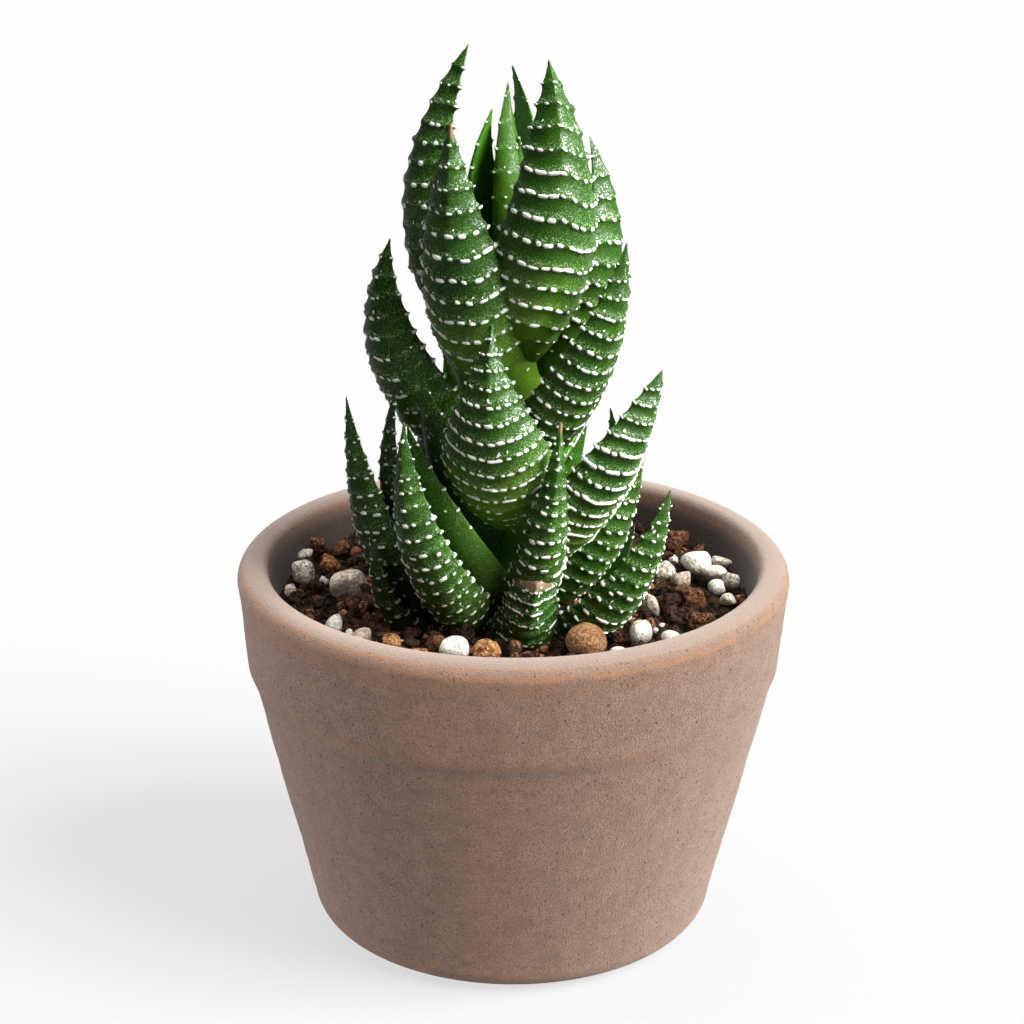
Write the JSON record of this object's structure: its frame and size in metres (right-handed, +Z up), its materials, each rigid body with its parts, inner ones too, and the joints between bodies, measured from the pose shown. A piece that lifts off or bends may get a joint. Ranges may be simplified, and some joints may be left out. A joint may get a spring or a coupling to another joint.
{
  "type": "potted haworthia",
  "caption": "Small upright succulent with thick pointed leaves banded in white dots, growing in gritty mix in a tapered round clay pot with a rim band.",
  "frame": {"origin": "middle of the pot's flat underside, the bottom centre of the whole object", "axes": "+Z up along the pot's axis; -Y towards the front, where the widest leaf of the middle tier faces; +X to the right seen from the front"},
  "size_m": [0.085, 0.085, 0.1386],
  "materials": {
    "pot": "matt, fine gritty unglazed clay, taupe, with rust tint on the rim",
    "potting_mix": "matt, dark crumbly grains",
    "stem": "smooth, pale green",
    "leaf": "waxy green with rows of raised white dots",
    "stone_pumice_left": "rough pumice",
    "stone_pumice_far_left": "rough pumice",
    "stone_tan_left": "matt, rough",
    "stone_orange_left": "matt, rough",
    "stone_white_left": "matt, rough",
    "stone_grey_left": "matt, rough",
    "stone_tan_front": "matt, rough",
    "stone_white_front": "matt, rough",
    "stone_tan_ball": "matt, rough",
    "stone_white_right": "matt, rough",
    "stone_pale_right": "matt, rough",
    "stone_rust_right": "matt, rough",
    "stone_white_back": "matt, rough",
    "stone_grey_back": "matt, rough",
    "stone_white_far_right": "matt, rough",
    "stone_white_rear": "matt, rough",
    "stone_tan_rear": "matt, rough"
  },
  "bodies": {
    "root": {"pot": "pot", "potting_mix": "potting_mix", "stem": "stem", "leaf_heart_bud": "leaf", "leaf_heart_left": "leaf", "leaf_heart_right": "leaf", "leaf_heart_back": "leaf", "leaf_crown_right": "leaf", "leaf_crown_left": "leaf", "leaf_crown_front": "leaf", "leaf_crown_side": "leaf", "leaf_back_1": "leaf", "leaf_back_2": "leaf", "leaf_shoulder_right": "leaf", "leaf_shoulder_left": "leaf", "leaf_back_3": "leaf", "leaf_back_4": "leaf", "leaf_middle_front": "leaf", "leaf_middle_left": "leaf", "leaf_back_5": "leaf", "leaf_back_6": "leaf", "leaf_side_small": "leaf", "leaf_lower_right": "leaf", "leaf_lower_left": "leaf", "leaf_back_7": "leaf", "leaf_back_8": "leaf", "leaf_back_9": "leaf", "leaf_lower_side": "leaf", "leaf_base_slender": "leaf", "leaf_base_left": "leaf", "leaf_base_inner": "leaf", "leaf_base_right": "leaf", "leaf_base_outer": "leaf", "leaf_base_stub": "leaf", "leaf_base_little": "leaf", "leaf_back_10": "leaf", "leaf_back_11": "leaf", "stone_pumice_left": "stone_pumice_left", "stone_pumice_far_left": "stone_pumice_far_left", "stone_tan_left": "stone_tan_left", "stone_orange_left": "stone_orange_left", "stone_white_left": "stone_white_left", "stone_grey_left": "stone_grey_left", "stone_tan_front": "stone_tan_front", "stone_white_front": "stone_white_front", "stone_tan_ball": "stone_tan_ball", "stone_white_right": "stone_white_right", "stone_pale_right": "stone_pale_right", "stone_rust_right": "stone_rust_right", "stone_white_back": "stone_white_back", "stone_grey_back": "stone_grey_back", "stone_white_far_right": "stone_white_far_right", "stone_white_rear": "stone_white_rear", "stone_tan_rear": "stone_tan_rear"}
  },
  "joints": []
}
